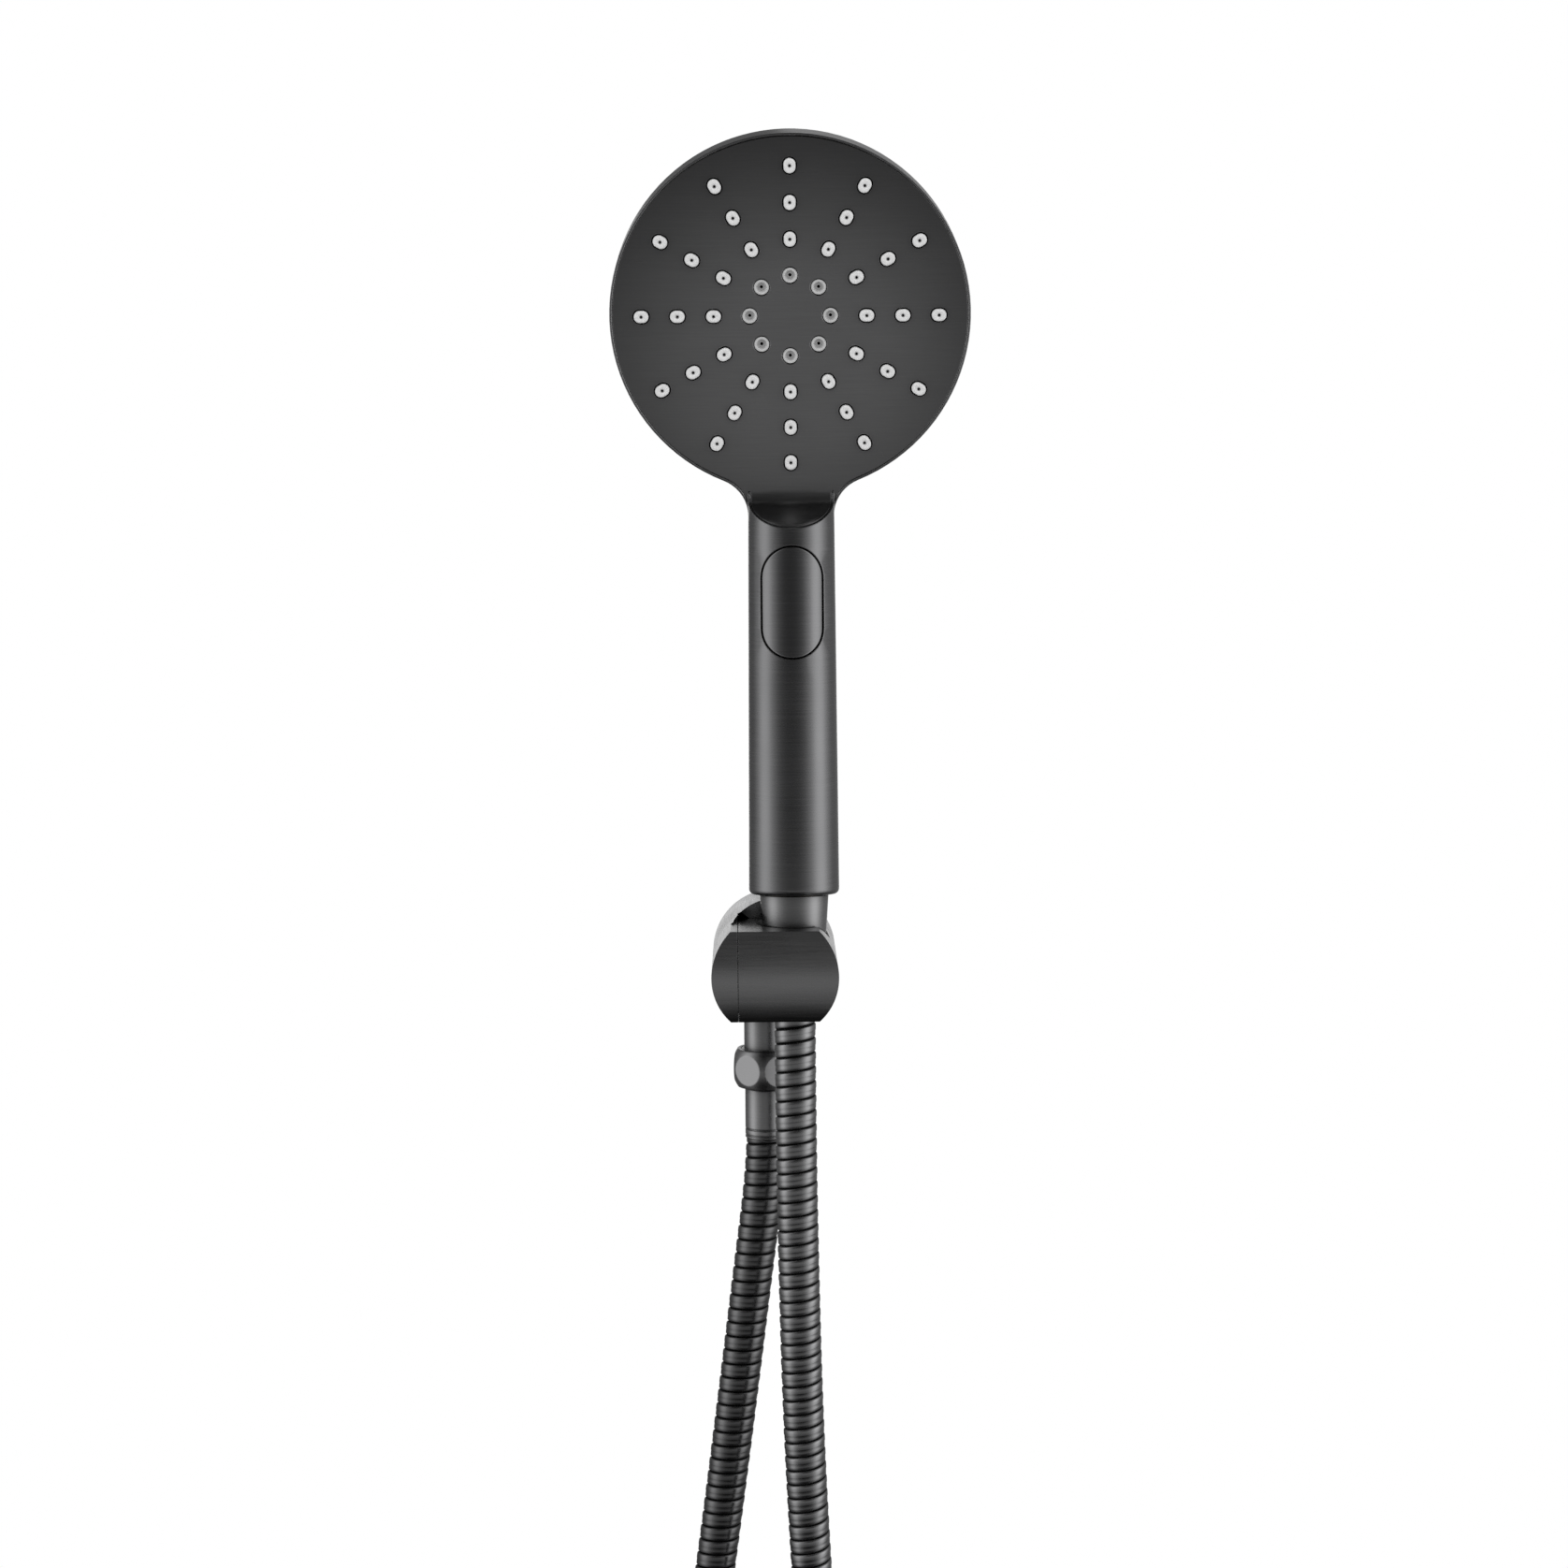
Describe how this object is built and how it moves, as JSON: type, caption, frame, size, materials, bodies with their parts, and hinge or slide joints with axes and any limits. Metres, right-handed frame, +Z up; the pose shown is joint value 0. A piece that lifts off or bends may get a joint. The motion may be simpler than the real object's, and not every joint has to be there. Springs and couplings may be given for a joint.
{
  "type": "handheld shower head",
  "caption": "Handheld shower head with round spray face and mode button, seated in a tilting wall bracket and fed by a metal hose.",
  "frame": {"origin": "centre of the water inlet in the bracket's wall face", "axes": "+Z up, +Y into the wall along the inlet, -Y towards the user"},
  "size_m": [0.166, 0.062, 0.7469],
  "materials": {
    "brushed_shell": "plated moulding, brushed round the handle, dark gunmetal",
    "brushed_face": "plated moulding, straight brushed, dark gunmetal",
    "brushed_button": "plated moulding, brushed, dark gunmetal",
    "nozzle_silicone": "soft light grey silicone",
    "jet_plastic": "mid grey moulded plastic",
    "inner_plastic": "natural white moulded plastic",
    "liner_plastic": "black moulded plastic",
    "black_rubber": "black rubber",
    "steel": "plain stainless steel",
    "brass": "turned brass",
    "brushed_fitting": "plated brass, turned and brushed, dark gunmetal",
    "brushed_bracket": "plated brass, brushed, dark gunmetal",
    "hose_metal": null
  },
  "bodies": {
    "wall_bracket": {"wall_body": "brushed_bracket", "inlet_seal": "black_rubber", "friction_washer": "inner_plastic", "pivot_screw": "steel", "outlet_spigot": "brushed_fitting", "check_valve": "inner_plastic", "rear_washer": "black_rubber", "union_nut": "brushed_fitting", "hose_tail": "brass", "hose_sleeve": "brushed_fitting", "hose_rear": "hose_metal", "hose_coil": "hose_metal", "hose_tie": "black_rubber"},
    "holder": {"swivel_holder": "brushed_bracket", "socket_liner": "liner_plastic", "pivot_bush": "inner_plastic"},
    "hose_end": {"swivel_ferrule": "brass", "hose_front": "hose_metal"},
    "handset": {"handle_shell": "brushed_shell", "face_plate": "brushed_face", "nozzle_mat": "nozzle_silicone", "jet_insert": "jet_plastic", "distribution_plate": "inner_plastic", "head_seal": "black_rubber", "face_screws": "steel", "button_spring": "steel", "diverter_cartridge": "inner_plastic", "stem_seal": "black_rubber", "water_tube": "inner_plastic", "inlet_nipple": "brass", "nipple_seal": "black_rubber", "flow_restrictor": "inner_plastic", "inlet_filter": "steel", "cone_nut": "brushed_fitting", "hose_washer": "black_rubber"},
    "button": {"mode_button": "brushed_button", "button_stem": "inner_plastic"}
  },
  "joints": [
    {"name": "holder_tilt", "type": "hinge", "parent": "wall_bracket", "child": "holder", "pos_m": [0, -0.042, 0], "axis": [1, 0, 0], "range_deg": [-2, 15], "deforming": ["hose_front"]},
    {"name": "handset_lift", "type": "slide", "parent": "holder", "child": "hose_end", "axis": [0, 0.0872, 0.9962], "range_m": [0, 0.045], "deforming": ["hose_front"]},
    {"name": "handset_turn", "type": "hinge", "parent": "hose_end", "child": "handset", "pos_m": [0.0067, -0.042, 0], "axis": [0, 0.0872, 0.9962], "range_deg": [-20, 20]},
    {"name": "button_press", "type": "slide", "parent": "handset", "child": "button", "axis": [0, 0.9962, -0.0872], "range_m": [0, 0.0025], "stiffness_N_per_m": 700, "springref_m": -0.001, "deforming": ["button_spring"]}
  ]
}
